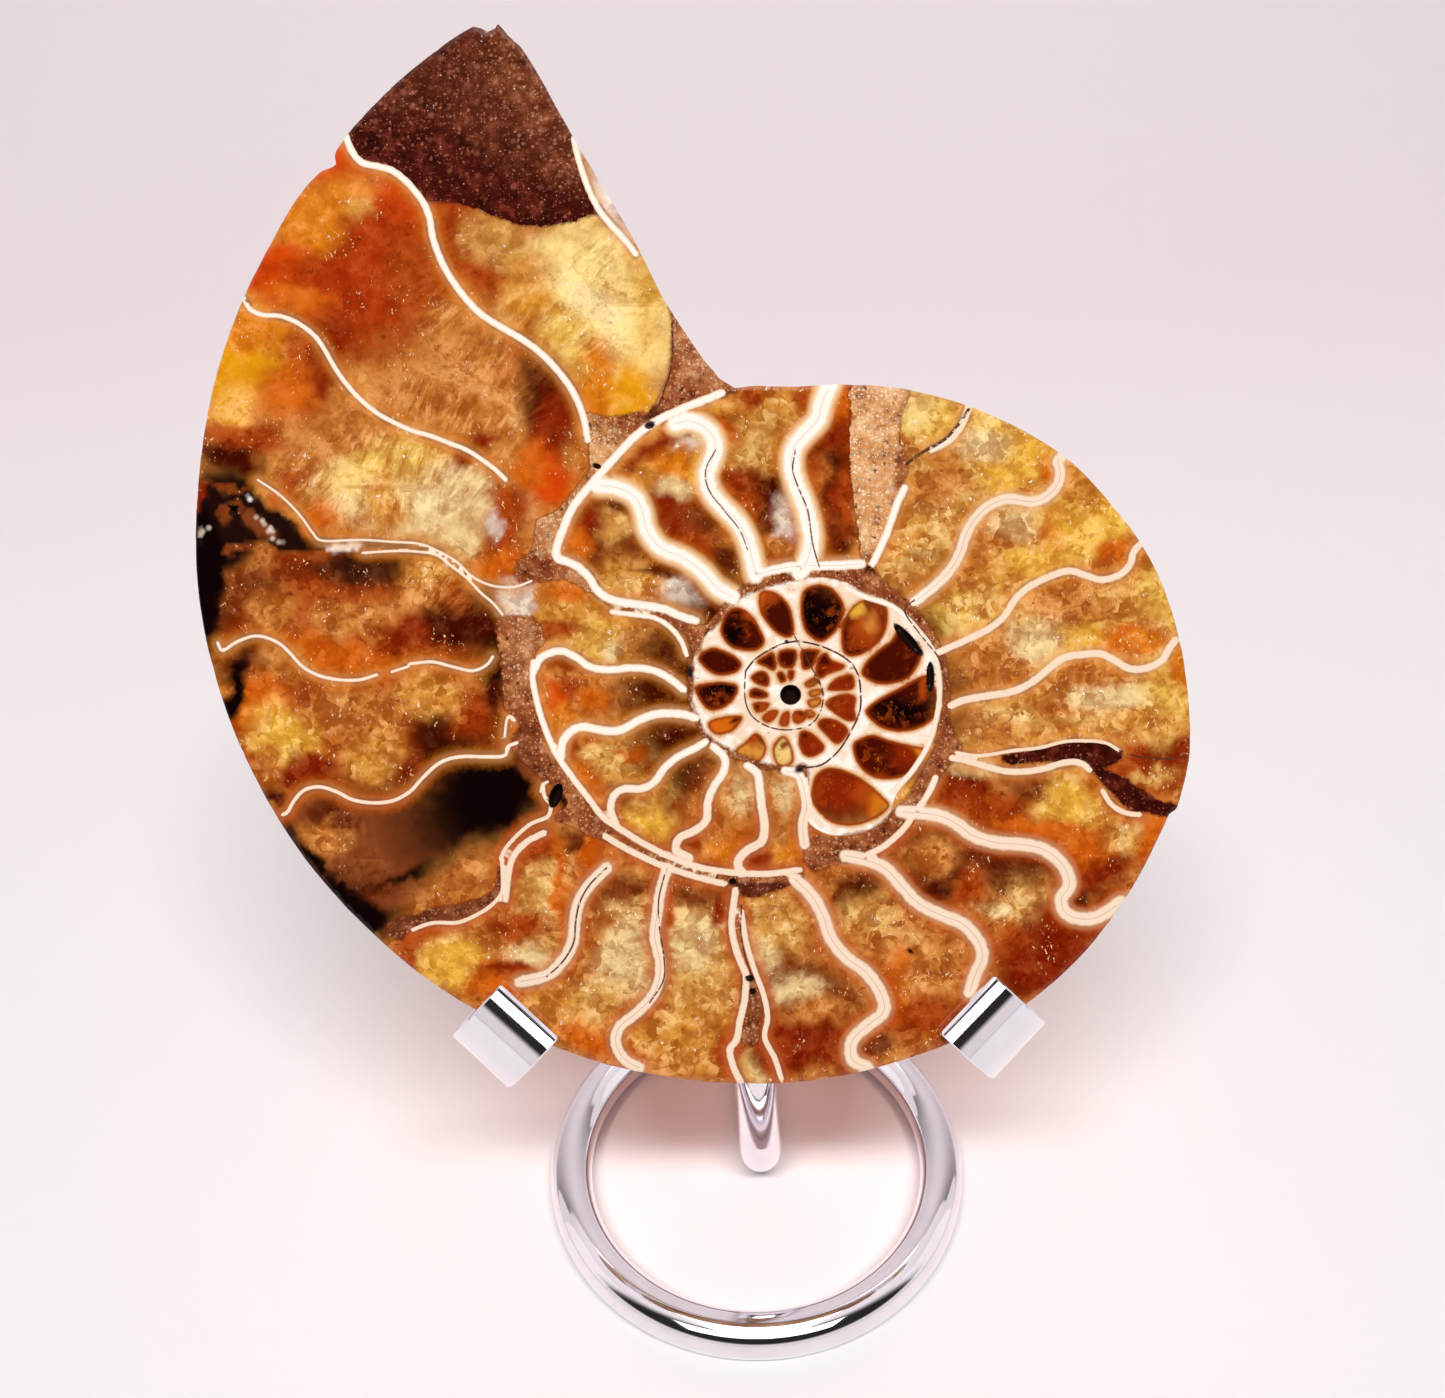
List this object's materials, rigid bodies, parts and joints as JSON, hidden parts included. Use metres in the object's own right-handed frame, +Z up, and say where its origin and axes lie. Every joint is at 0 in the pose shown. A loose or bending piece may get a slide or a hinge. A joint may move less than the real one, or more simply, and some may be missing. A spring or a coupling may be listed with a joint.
{
  "type": "ammonite fossil half on a display stand",
  "caption": "Flat polished half of a coiled ammonite fossil, leaning back in two hooked arms on a ring-footed stand.",
  "frame": {"origin": "middle of the underside of the whole part's box, on the table", "axes": "+Z up; the cut face leans back and looks towards -Y and +Z; +X to the right of someone looking at the cut face"},
  "size_m": [0.113, 0.0824, 0.1475],
  "materials": {
    "fossil": "polished calcite and agatised chambers with cream septa on the cut face, smooth pearly brown shell behind",
    "stand": "bright chrome plate"
  },
  "bodies": {
    "root": {"ammonite_half": "fossil", "base_ring": "stand", "stem": "stand", "cradle_arm_left": "stand", "cradle_arm_right": "stand"}
  },
  "joints": []
}
